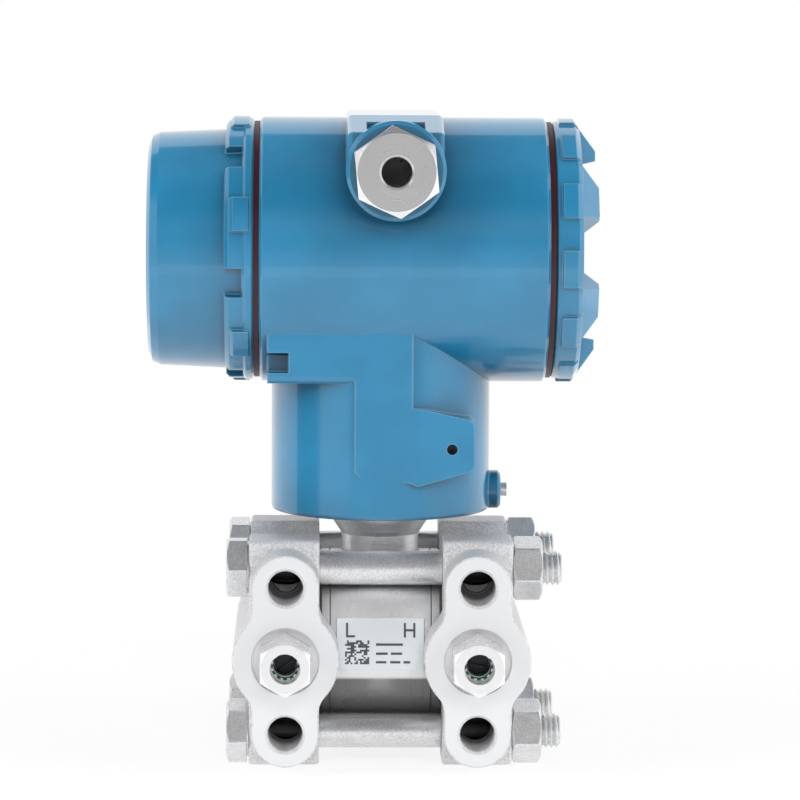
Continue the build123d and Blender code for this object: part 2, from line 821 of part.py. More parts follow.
def terminal_cover():
    """Short cover: threaded sleeve, rim with twelve grip pads, and six ears on its end."""
    rim = terminal_rim_start()
    end = terminal_end()
    bore = cover_bore()
    sleeve = cover_thread_radius()
    base = body_radius - terminal_inset
    points = [(rim - cover_thread_length(), bore), (rim - cover_thread_length(), sleeve), (rim, sleeve)]
    points += [(rim, base - rim_edge), (rim + rim_edge, base), (end - 1.2, base), (end, base - 1.4)]
    points += [(end, 0), (end - terminal_face_wall, 0), (end - terminal_face_wall, bore)]
    cover = turned_x(points)
    low = base - 1
    top = base + terminal_pad_height
    start = rim + terminal_pad_inset
    stop = end - 0.4
    pad = [(start, low), (start + 0.5, top), (stop - 1.2, top), (stop, low + 0.4), (stop, low)]
    for index in range(terminal_pad_count):
        cover += sector(pad, terminal_pad_arc, terminal_pad_phase + index * 360 / terminal_pad_count)
    for index in range(ear_count):
        cover += Rot(60 - ear_phase + index * 360 / ear_count, 0, 0) * ear()
    return Pos(0, 0, axis_height) * cover


def cover_seal(face, side):
    """Seal ring between the housing mouth and a cover's rim."""
    start, end = sorted((face + side * seat_gap, face + side * (cover_seal_width - seat_gap)))
    outer = body_radius - cover_seal_inset
    return ring_x(outer, cover_thread_radius() + thread_clearance, start, end, axis_height)


def post_places():
    """The three posts that carry the electronics, as (y, z)."""
    for angle in (90, 210, 330):
        y = board_post_circle * cos(radians(angle))
        z = axis_height + board_post_circle * sin(radians(angle))
        yield y, z


def electronics_board():
    """Round main board with its larger components, each as (y, rise, width, height, thickness)."""
    front = board_x - board_sheet
    board = rod(board_radius, front, board_x, 0, axis_height)
    for y, rise, width, height, thick in board_parts:
        z = axis_height + rise
        sides = (y - width / 2, y + width / 2)
        board += block((front - thick, front), sides, (z - height / 2, z + height / 2))
    return board


def module_front():
    """X of the display module's face, just behind the window retainer."""
    return glass_seat() + window_gasket + window_glass + retainer_height + module_gap


def board_spacers():
    """Three hexagon spacers between the main board and the display module."""
    start = board_x - board_sheet
    spacers = []
    for y, z in post_places():
        place = Pos(start, y, z) * Rot(0, -90, 0)
        outline = RegularPolygon(spacer_flats / 2, 6, major_radius=False)
        spacers.append(place * extrude(outline, start - module_front() - module_thickness))
    return group(spacers)


def display_module():
    """Round display module with a recess for its panel."""
    front = module_front()
    module = rod(module_radius, front, front + module_thickness, 0, axis_height)
    module = chamfer(module.faces().sort_by(Axis.X)[0].edges(), 1.0)
    level = axis_height + panel_rise
    half_width = panel_width / 2 + 0.1
    half_height = panel_height / 2 + 0.1
    window = ((-half_width, half_width), (level - half_height, level + half_height))
    return module - block((front - 1, front + panel_thickness), *window)


def display_panel():
    """Liquid crystal panel let into the module's face."""
    front = module_front()
    level = axis_height + panel_rise
    height = (level - panel_height / 2, level + panel_height / 2)
    return block((front + 0.1, front + panel_thickness), (-panel_width / 2, panel_width / 2), height)


def module_screws():
    """Three screws that hold the display module to the spacers."""
    front = module_front()
    screws = []
    for y, z in post_places():
        screws.append(rod(screw_head_radius, front - screw_head_height, front, y, z))
    return group(screws)


def terminal_places():
    """Y of each terminal."""
    for index in range(terminal_count):
        yield (index - (terminal_count - 1) / 2) * terminal_pitch


def terminal_block():
    """Moulded terminal block on two legs from the partition, with barriers between its terminals."""
    back = block_front - block_thickness
    half_width = block_width / 2
    half_height = block_height / 2
    height_span = (axis_height - half_height, axis_height + half_height)
    body = block((back, block_front), (-half_width, half_width), height_span)
    body = fillet(body.edges().filter_by(Axis.X), 4.0)
    for index in range(terminal_count + 1):
        y = (index - terminal_count / 2) * terminal_pitch
        sides = (y - barrier_width / 2, y + barrier_width / 2)
        levels = (axis_height - barrier_half_length, axis_height + barrier_half_length)
        body += block((block_front, block_front + barrier_height), sides, levels)
    for side in (-1, 1):
        body += rod(block_leg_radius, partition_right, back, side * block_leg_offset, axis_height - 6)
    return body


def head_slot(head_end, y, z):
    """Cut of the driver slot in a screw head that faces +X."""
    sides = (y - slot_half_width, y + slot_half_width)
    return block((head_end - slot_depth, head_end + 1), sides, (z - earth_head_radius, z + earth_head_radius))


def terminal_screws():
    """Terminal screws on their square clamp washers."""
    screws = []
    top = block_front + 1.2
    half = terminal_washer / 2
    for y in terminal_places():
        screw = block((block_front, top), (y - half, y + half), (axis_height - half, axis_height + half))
        screw += rod(terminal_screw_radius, top, top + terminal_screw_height, y, axis_height)
        screw -= head_slot(top + terminal_screw_height, y, axis_height)
        screws.append(screw)
    return group(screws)


def inner_ground_screw():
    """Earth screw inside the terminal room."""
    level = axis_height - earth_drop
    head_end = partition_right + earth_head_height
    screw = rod(earth_head_radius, partition_right, head_end, earth_y, level)
    return screw - head_slot(head_end, earth_y, level)


def save(name, shape):
    """Write one piece, moved so that the front threads start at Y = 0."""
    moved = [Pos(0, flange_half_depth - process_chamfer, 0) * solid for solid in shape.solids()]
    export_step(Compound(moved), f"parts/{name}.step")


def main():
    """Build every piece and write it."""
    os.makedirs("parts", exist_ok=True)
    high = process_flange()
    save("high_side_flange", high)
    save("low_side_flange", mirror(high, Plane.YZ))
    save("sensor_capsule", sensor_capsule())
    for word, side in side_words():
        save(f"{word}_diaphragm", diaphragm(side))
        save(f"{word}_flange_seal", flange_seal(side))
        save(f"{word}_vent_body", vent_body(side))
        save(f"{word}_vent_stem", vent_stem(side))
        save(f"{word}_vent_seal", vent_seal(side))
        save(f"{word}_vent_packing", vent_packing(side))
        save(f"{word}_rear_plug", rear_plug(side))
    save("clamp_bolts", clamp_bolts())
    save("clamp_nuts", clamp_nuts())
    save("capsule_label", capsule_label())
    save("neck_seal", neck_seal())
    save("header_board", header_board())
    save("housing_casting", housing_casting())
    save("housing_lock_screw", housing_lock_screw())
    save("ground_screw", ground_screw())
    save("cable_gland", cable_gland())
    save("conduit_blank", conduit_blank())
    save("display_cover", display_cover())
    save("display_cover_seal", cover_seal(body_left, -1))
    save("display_window", display_window())
    save("window_gasket", window_gasket_ring())
    save("window_retainer", window_retainer())
    save("electronics_board", electronics_board())
    save("board_spacers", board_spacers())
    save("display_module", display_module())
    save("display_panel", display_panel())
    save("module_screws", module_screws())
    save("terminal_cover", terminal_cover())
    save("terminal_cover_seal", cover_seal(body_right, 1))
    save("terminal_block", terminal_block())
    save("terminal_screws", terminal_screws())
    save("inner_ground_screw", inner_ground_screw())


main()
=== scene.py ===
"""Looks of a differential pressure transmitter: finishes, threads, seal lugs, label print and studio.

Metres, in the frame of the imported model: +Z up, -Y towards the reader, front threads start at Y = 0.
"""

import random
from math import cos, pi, radians, sin, sqrt

import bpy
from bpy.props import FloatProperty, FloatVectorProperty, IntProperty
from mathutils import Matrix, Vector


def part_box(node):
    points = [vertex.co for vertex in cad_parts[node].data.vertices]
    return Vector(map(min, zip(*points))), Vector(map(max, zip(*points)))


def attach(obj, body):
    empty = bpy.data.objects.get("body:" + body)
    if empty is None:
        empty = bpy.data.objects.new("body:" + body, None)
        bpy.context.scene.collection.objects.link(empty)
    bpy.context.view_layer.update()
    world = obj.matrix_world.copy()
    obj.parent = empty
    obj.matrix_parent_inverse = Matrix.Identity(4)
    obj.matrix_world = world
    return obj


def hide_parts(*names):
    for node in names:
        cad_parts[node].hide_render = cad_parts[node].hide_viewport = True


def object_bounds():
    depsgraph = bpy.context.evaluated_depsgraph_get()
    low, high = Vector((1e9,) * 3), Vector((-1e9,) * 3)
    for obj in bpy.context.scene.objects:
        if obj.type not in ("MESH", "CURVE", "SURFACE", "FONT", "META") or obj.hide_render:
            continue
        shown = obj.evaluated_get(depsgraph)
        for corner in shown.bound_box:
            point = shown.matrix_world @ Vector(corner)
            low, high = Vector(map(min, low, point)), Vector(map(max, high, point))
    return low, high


bl_info = {
    "name": "Pressure transmitter looks",
    "version": (1, 0, 0),
    "blender": (4, 5, 0),
    "location": "View3D > Sidebar > Transmitter",
    "description": "Finishes, threads, label print and studio for a differential pressure transmitter",
    "category": "Object",
}

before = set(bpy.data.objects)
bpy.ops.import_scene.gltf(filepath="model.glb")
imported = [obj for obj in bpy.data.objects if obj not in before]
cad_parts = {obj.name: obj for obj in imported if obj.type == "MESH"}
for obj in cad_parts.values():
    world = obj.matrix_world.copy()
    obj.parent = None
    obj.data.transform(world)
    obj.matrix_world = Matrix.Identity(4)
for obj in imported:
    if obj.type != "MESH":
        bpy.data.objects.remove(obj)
cad_low, cad_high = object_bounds()
MM = 0.001
X_AXIS, Y_AXIS, Z_AXIS = range(3)

# Picture and studio
IMAGE_SIZE = 800
SENSOR_WIDTH = 36.0
TABLE_POINTS = 96

# Capsule and its label
CAPSULE_TOP = 26.5 * MM
PRINT_LIFT = 0.02 * MM
PATTERN_SEED = 7

# Vents: green sleeve in the bore, white lugs over the seal's windows, narrower at their chamfer
SLEEVE_RADIUS = 4.10 * MM
SLEEVE_LENGTH = 5.2 * MM
SEAL_WINDOWS = 12
LUG_INNER = 3.47 * MM
LUG_OUTER = 3.93 * MM
LUG_RISE = 0.28 * MM
LUG_CHAMFER = 0.08 * MM
LUG_HALF_TURN = radians(6.8)
LUG_TAPER = 0.1 / MM

# Bolts and nuts: the shares are of half the width across flats
NUT_CLEARANCE = 0.02 * MM
WASHER_SHARE = 0.93
CHAMFER_SHARE = 0.97
CHAMFER_SLOPE = 0.577
CHAMFER_DEPTHS = [depth * MM for depth in (0.0, 0.2, 0.4, 0.6, 0.8, 1.0, 1.2, 1.5)]
FLANK_SLOPE = 1.25


def node_centre(name):
    """Middle of a CAD node's box."""
    low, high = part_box(name)
    return (low + high) / 2


sensor_y = node_centre("sensor_capsule").y
flange_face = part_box("high_side_flange")[1].y - sensor_y
port_x = node_centre("high_side_vent_stem").x
bench_z = cad_low.z


class FinishColours(bpy.types.PropertyGroup):
    """Colours of the object's finishes."""
    enamel: FloatVectorProperty(name="Enamel", description="Blue enamel of the housing and its covers",
                                subtype="COLOR", size=3, min=0, max=1, default=(0.015, 0.203, 0.385))
    # Painted highlight: a paler enamel colour on the edges, where their rounding catches the lamps.
    enamel_edge_highlight: FloatVectorProperty(name="Enamel edge", description="Thin, paler enamel on the edges",
                                     subtype="COLOR", size=3, min=0, max=1, default=(0.24, 0.52, 0.72))
    cast_steel: FloatVectorProperty(name="Cast steel",
                                    description="Blasted cast stainless steel of the flanges",
                                    subtype="COLOR", size=3, min=0, max=1, default=(0.88, 0.88, 0.89))
    milled_steel: FloatVectorProperty(name="Milled steel", description="Machined faces of the flanges",
                                      subtype="COLOR", size=3, min=0, max=1, default=(0.77, 0.775, 0.79))
    turned_steel: FloatVectorProperty(name="Turned steel", description="Lathe-turned stainless steel",
                                      subtype="COLOR", size=3, min=0, max=1, default=(0.93, 0.93, 0.94))
    bolt_steel: FloatVectorProperty(name="Bolt steel", description="Rolled steel of the bolts and nuts",
                                    subtype="COLOR", size=3, min=0, max=1, default=(0.95, 0.955, 0.965))
    seal_red: FloatVectorProperty(name="Cover seal", description="Dark red rubber under the covers",
                                  subtype="COLOR", size=3, min=0, max=1, default=(0.055, 0.006, 0.008))
    seal_green: FloatVectorProperty(name="Vent seal", description="Dark green plastic in the vents",
                                    subtype="COLOR", size=3, min=0, max=1, default=(0.012, 0.13, 0.085))


class StudioSizes(bpy.types.PropertyGroup):
    """Camera and lamps."""
    aim: FloatVectorProperty(name="Aim", description="Point in the middle of the picture",
                             subtype="TRANSLATION", size=3, default=(0.00563, sensor_y, 0.06938))
    distance: FloatProperty(name="Distance", description="From the camera to the aim",
                            unit="LENGTH", default=1.1924)
    azimuth: FloatProperty(name="Azimuth", description="Turn of the view to the right",
                           subtype="ANGLE", default=radians(1.2))
    pitch: FloatProperty(name="Pitch", description="How far the camera looks down",
                         subtype="ANGLE", default=radians(5.84))
    roll: FloatProperty(name="Roll", description="Turn of the camera about its own view",
                        subtype="ANGLE", default=radians(0.325))
    focal_pixels: FloatProperty(name="Focal length", description="In pixels of an image 800 wide",
                                default=4125.0)
    ambient: FloatProperty(name="Ambient", description="Level of the even studio light", default=0.15)
    room: FloatProperty(name="Room", description="Brightness of the dim part of the studio in reflections",
                        default=0.12)
    side_box: FloatProperty(name="Side boxes",
                            description="Brightness of the side soft boxes in reflections", default=0.95)
    front_glow: FloatProperty(name="Front glow", description="Brightness of the low front in reflections",
                              default=0.82)
    low_glow: FloatProperty(name="Low glow", description="Brightness of the ground in reflections",
                            default=1.4)
    side_lamps: FloatProperty(name="Side lamps", description="Each side lamp's share of the full light",
                              default=0.68)
    top_lamp: FloatProperty(name="Top lamp", description="The top lamp's share of the full light",
                            default=0.42)
    front_lamp: FloatProperty(name="Front lamp", description="The front lamp's share of the full light",
                              default=0.32)
    table_radius: FloatProperty(name="Table", description="Radius of the bright table round the object",
                                unit="LENGTH", default=0.40)


class ThreadSizes(bpy.types.PropertyGroup):
    """Clamp bolts and nuts with cut threads, and the threads of the process holes."""
    bolt_radius: FloatProperty(name="Bolt radius", description="Crest of the bolts' thread",
                               unit="LENGTH", default=4.9 * MM)
    bolt_pitch: FloatProperty(name="Bolt pitch", description="Distance between the bolts' threads",
                              unit="LENGTH", default=1.5 * MM)
    thread_share: FloatProperty(name="Thread depth",
                                description="Depth of a thread as a share of its pitch", default=0.55)
    steps: IntProperty(name="Steps", description="Mesh rows in each turn of a thread", default=10)
    segments: IntProperty(name="Segments", description="Mesh columns round a thread", default=72)
    spacing_y: FloatProperty(name="Bolt depth spacing", description="Between the front and rear bolts",
                             unit="LENGTH", default=42.0 * MM)
    spacing_z: FloatProperty(name="Bolt height spacing", description="Between the lower and upper bolts",
                             unit="LENGTH", default=47.0 * MM)
    flats: FloatProperty(name="Across flats", description="Width of the bolt heads",
                         unit="LENGTH", default=16.0 * MM)
    washer_face: FloatProperty(name="Washer face", description="Height of the round face under a head",
                               unit="LENGTH", default=0.6 * MM)
    end_chamfer: FloatProperty(name="End chamfer", description="Chamfer of the bolt ends",
                               unit="LENGTH", default=1.0 * MM)
    head_turns: FloatVectorProperty(name="Head turns",
                                    description="How far each head is turned, low front first",
                                    size=4, default=(radians(16), radians(32), radians(8), radians(22)))
    nut_turns: FloatVectorProperty(name="Nut turns",
                                   description="How far each nut is turned, low front first",
                                   size=4, default=(radians(-14), radians(-14), radians(20), radians(3)))
    hole_radius: FloatProperty(name="Hole radius", description="Radius of the process holes",
                               unit="LENGTH", default=5.0 * MM)
    hole_depth: FloatProperty(name="Hole depth", description="Length of thread in the process holes",
                              unit="LENGTH", default=19.0 * MM)
    hole_pitch: FloatProperty(name="Hole pitch", description="Thread pitch of the process holes",
                              unit="LENGTH", default=1.27 * MM)
    hole_rise: FloatProperty(name="Hole rise",
                             description="Height of the process holes above the port's axis",
                             unit="LENGTH", default=20.65 * MM)


class LabelSizes(bpy.types.PropertyGroup):
    """Print on the capsule's label."""
    letter_height: FloatProperty(name="Letter height", description="Height of the side letters",
                                 unit="LENGTH", default=4.05 * MM)
    letter_stroke: FloatProperty(name="Letter stroke", description="Width of a letter's strokes",
                                 unit="LENGTH", default=0.62 * MM)
    cell: FloatProperty(name="Cell", description="Size of one cell of the block pattern",
                        unit="LENGTH", default=0.53 * MM)
    cells: IntProperty(name="Cells", description="Cells along one side of the block pattern", default=13)


class Wire:
    """A value at each point of a surface; arithmetic on it adds the Math nodes."""

    def __init__(self, nodes, socket):
        self.nodes = nodes
        self.socket = socket

    def maths(self, operation, *values):
        return self.nodes.node("ShaderNodeMath", {"operation": operation}, dict(enumerate(values)))

    def __add__(self, other):
        return self.maths("ADD", self, other)

    def __mul__(self, other):
        return self.maths("MULTIPLY", self, other)

    def __sub__(self, other):
        return self.maths("SUBTRACT", self, other)

    def __rsub__(self, other):
        return self.maths("SUBTRACT", other, self)

    def __pow__(self, other):
        return self.maths("POWER", self, other)

    def __neg__(self):
        return self.maths("SUBTRACT", 0.0, self)

    def __abs__(self):
        return self.maths("ABSOLUTE", self)

    __radd__ = __add__
    __rmul__ = __mul__

    def most(self, other):
        return self.maths("MAXIMUM", self, other)

    def ridges(self, pitch):
        """Triangle wave between 0 and 1, one crest each pitch."""
        return self.maths("PINGPONG", self, pitch / 2) * (2 / pitch)

    def rise(self, start, end):
        """0 before start, 1 after end, smooth between."""
        return self.nodes.node("ShaderNodeMapRange", {"interpolation_type": "SMOOTHSTEP"},
                               {"Value": self, "From Min": start, "From Max": end})

    def within(self, start, end, soft):
        """1 between start and end, 0 outside, with a soft step after each."""
        return self.rise(start, start + soft) * (1 - self.rise(end, end + soft))


class Nodes:
    """The node tree of a material or of the world."""

    def __init__(self, owner):
        owner.use_nodes = True
        self.tree = owner.node_tree
        self.tree.nodes.clear()

    def node(self, kind, settings=None, inputs=None, output=0):
        """Add a node, set its settings, then the values or links of its sockets."""
        made = self.tree.nodes.new(kind)
        for key, value in (settings or {}).items():
            setattr(made, key, value)
        for key, value in (inputs or {}).items():
            socket = made.inputs[key]
            if isinstance(value, Wire):
                self.tree.links.new(value.socket, socket)
            else:
                socket.default_value = value
        return Wire(self, made.outputs[output]) if made.outputs else made

    def place(self):
        """Position on the piece, in metres, that stays with it when it moves."""
        return self.node("ShaderNodeTexCoord", output="Object")

    def split(self, vector):
        """X, Y and Z of a vector."""
        made = self.node("ShaderNodeSeparateXYZ", inputs={0: vector}).socket.node
        return [Wire(self, made.outputs[index]) for index in range(3)]

    def facing(self):
        """X, Y and Z of the unbumped normal on the piece, each without its sign."""
        normal = self.node("ShaderNodeTexCoord", output="Normal")
        return [abs(part) for part in self.split(normal)]

    def noise(self, scale, detail=3.0, vector=None, rough=0.55):
        """Soft noise, about 0.5, with so many grains a metre."""
        return self.node("ShaderNodeTexNoise", inputs={
            "Vector": vector or self.place(), "Scale": scale, "Detail": detail, "Roughness": rough})

    def stretched(self, factors):
        """Position with each axis scaled, for grain that runs along one of them."""
        return self.node("ShaderNodeVectorMath", {"operation": "MULTIPLY"}, {0: self.place(), 1: factors})

    def blend(self, factor, first, second):
        """Colour between two colours."""
        inputs = {"Factor": factor, "A": colour(first), "B": colour(second)}
        made = self.tree.nodes.new("ShaderNodeMix")
        made.data_type = "RGBA"
        for socket in [s for s in made.inputs if s.enabled]:
            value = inputs[socket.name]
            if isinstance(value, Wire):
                self.tree.links.new(value.socket, socket)
            else:
                socket.default_value = value
        return Wire(self, next(s for s in made.outputs if s.enabled))

    def bump(self, height, depth, rounding=0.0):
        """Normal of a surface whose height varies by depth metres, its sharp edges rounded."""
        inputs = {"Height": height, "Distance": depth, "Strength": 1.0}
        if rounding:
            inputs["Normal"] = self.node("ShaderNodeBevel", {"samples": 8}, {"Radius": rounding})
        return self.node("ShaderNodeBump", inputs=inputs)

    def open_sky(self, reach):
        """1 on open surfaces, less in corners and beside other pieces."""
        return self.node("ShaderNodeAmbientOcclusion", {"samples": 8}, {"Distance": reach}, output="AO")

    def edges(self, rounding):
        """1 on the edges of the piece, 0 elsewhere."""
        smooth = self.node("ShaderNodeBevel", {"samples": 8}, {"Radius": rounding})
        flat = self.node("ShaderNodeNewGeometry", output="Normal")
        made = self.node("ShaderNodeVectorMath", {"operation": "DOT_PRODUCT"}, {0: smooth, 1: flat})
        return 1.0 - Wire(self, made.socket.node.outputs["Value"])

    def surface(self, **sockets):
        """Principled shader with these sockets, as the material's surface."""
        inputs = {}
        for key, value in sockets.items():
            inputs[key.replace("_", " ").title().replace("Ior", "IOR")] = value
        shader = self.node("ShaderNodeBsdfPrincipled", inputs=inputs)
        self.node("ShaderNodeOutputMaterial", inputs={"Surface": shader})


def colour(value):
    """A colour with its alpha, or a wire as it is."""
    return value if isinstance(value, Wire) else (*value[:3], 1.0)


def scaled(tint, share):
    """A colour with each part times share."""
    return [min(part * share, 1.0) for part in tint]


def from_axis(first, second):
    """Distance from an axis, from the two distances across it."""
    return ((first * first) + (second * second)) ** 0.5


def new_material(name):
    """An empty material and its nodes."""
    material = bpy.data.materials.new(name)
    return material, Nodes(material)


def blue_enamel(colours):
    """Glossy blue stove enamel with a faint orange peel, a painted highlight on the edges and painted shade
    in deep corners and beside other pieces.
    """
    material, nodes = new_material("blue_enamel")
    peel = nodes.noise(scale=420.0, detail=2.0)
    cloud = nodes.noise(scale=38.0)
    deep = scaled(colours.enamel, 0.90)
    base = nodes.blend(cloud.rise(0.3, 0.7), deep, scaled(colours.enamel, 1.10))
    # Painted shade: the enamel's colour darkens in corners and beside other pieces, where little light
    # reaches.
    base = nodes.blend(nodes.open_sky(reach=22.0 * MM) ** 1.6, scaled(deep, 0.25), base)
    # Painted highlight: the colour turns paler along the edges.
    edge = nodes.edges(rounding=0.9 * MM).rise(0.005, 0.16)
    nodes.surface(base_color=nodes.blend(edge * 0.4, base, colours.enamel_edge_highlight),
                  roughness=0.26 + 0.06 * cloud, coat_weight=1.0, coat_roughness=0.05, coat_ior=1.5,
                  ior=1.45, normal=nodes.bump(peel, depth=0.012 * MM, rounding=0.9 * MM))
    return material


def cast_stainless(colours):
    """Blasted stainless casting with milled process faces, threaded holes with painted shade deep inside,
    and painted light on the recess floor round each port.
    """
    material, nodes = new_material("cast_stainless")
    threads = bpy.context.scene.transmitter_threads
    x, y, z = nodes.split(nodes.place())
    inward = flange_face - abs(y - sensor_y)
    face = 1 - inward.rise(0.2 * MM, 0.4 * MM)
    off_x = abs(x) - port_x
    recess_radius = 10.4 * MM
    recess = 1 - from_axis(off_x, z).rise(recess_radius, recess_radius + 0.2 * MM)
    milled = nodes.facing()[Y_AXIS].rise(0.97, 0.995) * face.most(recess)
    from_hole = from_axis(off_x, abs(z) - threads.hole_rise)
    hole = 1 - from_hole.rise(threads.hole_radius, threads.hole_radius + 0.05 * MM)
    hole = hole * inward.within(0.5 * MM, threads.hole_depth, soft=0.2 * MM)
    rim_radius = threads.hole_radius + 0.40 * MM
    countersink = from_hole.within(rim_radius, rim_radius + 0.18 * MM, soft=0.10 * MM) * face
    grain = nodes.noise(scale=1500.0, detail=5.0, rough=0.75)
    blotch = nodes.noise(scale=170.0)
    cast = nodes.blend(0.75 * grain.rise(0.35, 0.62) + 0.25 * blotch, scaled(colours.cast_steel, 0.62),
                       colours.cast_steel)
    # Threaded holes: the colour fades from the bright mouth to a painted shade deep inside, where little
    # light reaches.
    bore_mouth = (0.95, 0.95, 0.96)
    bore_deep_shade = (0.20, 0.20, 0.21)
    bore = nodes.blend(inward.rise(9.0 * MM, threads.hole_depth), bore_mouth, bore_deep_shade)
    # Painted light: the recess floor is paler than the milled face, so that it does not look shaded.
    recess_painted_light = (0.97, 0.97, 0.98)
    pale = nodes.blend(recess * inward.rise(0.5 * MM, 1.0 * MM), colours.milled_steel, recess_painted_light)
    rim_shade = (0.30, 0.30, 0.32)
    pale = nodes.blend(0.35 * countersink, pale, rim_shade)
    base = nodes.blend(hole, nodes.blend(milled, cast, pale), bore)
    roughness = (0.42 + 0.14 * blotch) * (1 - milled) + (0.36 + 0.08 * blotch) * milled
    height = grain * (1 - 0.9 * milled) * 0.16 + hole * y.ridges(threads.hole_pitch) * 0.4
    nodes.surface(base_color=base, metallic=0.42 - 0.07 * milled, roughness=roughness - 0.12 * hole,
                  normal=nodes.bump(height, depth=1.0 * MM, rounding=0.4 * MM))
    return material


def groove_travel(nodes, along, centre):
    """Distance that grows along an axis and away from it, constant along a lathe's grooves."""
    parts = nodes.split(nodes.place())
    across = [parts[index] for index in range(3) if index != along]
    return parts[along] + from_axis(across[0] - centre[0], across[1] - centre[1])


def capsule_openness(nodes):
    """1 where the capsule lies open, less where bolts and flanges shade it, less still below them."""
    sky = nodes.open_sky(reach=16.0 * MM)
    under = (-nodes.split(nodes.place())[Z_AXIS]).rise(7.2 * MM, 8.4 * MM)
    return sky.rise(0.28, 0.56) * (1 - under) + sky.rise(0.93, 1.12) * under


def sleeve_mask(nodes, centre, start):
    """1 on the wall of a bore along Y where a sleeve lines it, 0 elsewhere."""
    x, y, z = nodes.split(nodes.place())
    bore = 1 - from_axis(x - centre[0], z - centre[1]).rise(SLEEVE_RADIUS, SLEEVE_RADIUS + 0.04 * MM)
    return bore * y.within(start, start + SLEEVE_LENGTH, soft=0.2 * MM)


def turned_stainless(name, colours, along, centre, metallic, mark, neck=None, end_face_shade=1.0, sleeve=None):
    """Lathe-turned stainless steel with tool marks, mark millimetres deep, round its axis.

    Above neck the marks run round Z, and below it the steel is dark where other pieces shade it. The end
    faces get a painted shade: their colour is the steel's times the given share. A green sleeve lines the
    bore from sleeve inwards.
    """
    material, nodes = new_material(name)
    travel = groove_travel(nodes, along, centre)
    smear = nodes.noise(scale=90.0)
    base = nodes.blend(smear, scaled(colours.turned_steel, 0.9), colours.turned_steel)
    if neck is not None:
        above = nodes.split(nodes.place())[Z_AXIS].rise(neck - 0.1 * MM, neck)
        travel = travel * (1 - above) + groove_travel(nodes, Z_AXIS, (0.0, sensor_y)) * above
        neck_metallic = 0.75
        metallic = metallic + (neck_metallic - metallic) * above
        shaded = (0.17, 0.17, 0.17)
        base = nodes.blend(capsule_openness(nodes).most(above), shaded, base)
    if sleeve is not None:
        lined = sleeve_mask(nodes, centre, sleeve)
        base = nodes.blend(lined, base, colours.seal_green)
        metallic = metallic * (1 - lined)
    # Painted shade: the end faces that face along the axis are darkened.
    if end_face_shade < 1.0:
        end = nodes.facing()[along].rise(0.97, 0.99)
        base = nodes.blend(end, base, scaled(colours.turned_steel, end_face_shade))
    ridge = nodes.node("ShaderNodeTexNoise", {"noise_dimensions": "1D"},
                       {"W": travel, "Scale": 4200.0, "Detail": 1.0})
    nodes.surface(base_color=base, metallic=metallic, roughness=0.22 + 0.10 * smear,
                  normal=nodes.bump(ridge, depth=mark * MM, rounding=0.15 * MM))
    return material


def rolled_steel(name, colours, shaded_span=None):
    """Bright rolled steel with a grainy skin, painted dark between two distances from the middle as the
    shade where the bolts run inside the flanges.
    """
    material, nodes = new_material(name)
    grain = nodes.noise(scale=2300.0, rough=0.6)
    blotch = nodes.noise(scale=240.0, detail=2.0)
    base = nodes.blend(0.6 * grain.rise(0.35, 0.65) + 0.4 * blotch, scaled(colours.bolt_steel, 0.62),
                       colours.bolt_steel)
    if shaded_span is not None:
        from_middle = abs(nodes.split(nodes.place())[X_AXIS])
        # Painted shade: the bolts are dark where they run inside the flanges.
        bore_shade = (0.05, 0.05, 0.05)
        base = nodes.blend(from_middle.within(*shaded_span, soft=0.2 * MM), base, bore_shade)
    nodes.surface(base_color=base, metallic=0.72, roughness=0.16 + 0.12 * blotch,
                  normal=nodes.bump(grain, depth=0.06 * MM, rounding=0.25 * MM))
    return material


def plain_steel(name, tint, roughness):
    """Small steel or brass part with a light satin grain."""
    material, nodes = new_material(name)
    grain = nodes.noise(scale=3000.0, detail=2.0)
    smear = nodes.noise(scale=500.0, detail=2.0)
    nodes.surface(base_color=nodes.blend(smear, scaled(tint, 0.8), tint), metallic=1.0,
                  roughness=roughness + 0.1 * smear,
                  normal=nodes.bump(grain, depth=0.01 * MM, rounding=0.1 * MM))
    return material


def moulded(name, tint, roughness, grain_scale=1800.0):
    """Moulded rubber or plastic with a fine even grain."""
    material, nodes = new_material(name)
    grain = nodes.noise(scale=grain_scale)
    cloud = nodes.noise(scale=150.0, detail=2.0)
    nodes.surface(base_color=nodes.blend(cloud, scaled(tint, 0.85), scaled(tint, 1.1)),
                  roughness=roughness + 0.12 * cloud,
                  normal=nodes.bump(grain, depth=0.02 * MM, rounding=0.15 * MM))
    return material


def label_foil():
    """Pale silver-blue polyester foil with a faint brushed sheen."""
    material, nodes = new_material("label_foil")
    brush = nodes.noise(scale=600.0, vector=nodes.stretched((0.06, 1.0, 1.0)))
    dull = (0.86, 0.91, 0.95)
    bright = (0.93, 0.96, 0.98)
    nodes.surface(base_color=nodes.blend(brush, dull, bright), roughness=0.34 + 0.1 * brush,
                  normal=nodes.bump(brush, depth=0.003 * MM))
    return material


def label_ink():
    """Dark grey printing ink, slightly uneven."""
    material, nodes = new_material("label_ink")
    wear = nodes.noise(scale=2500.0, detail=2.0)
    full = (0.05, 0.06, 0.07)
    worn = (0.13, 0.14, 0.155)
    nodes.surface(base_color=nodes.blend(wear, full, worn), roughness=0.5 + 0.1 * wear)
    return material


def window_glass():
    """Clear toughened glass."""
    material, nodes = new_material("window_glass")
    wave = nodes.noise(scale=25.0, detail=1.0)
    nodes.surface(base_color=(0.93, 0.97, 0.96, 1.0), roughness=0.02 + 0.01 * wave,
                  transmission_weight=1.0, ior=1.5)
    return material


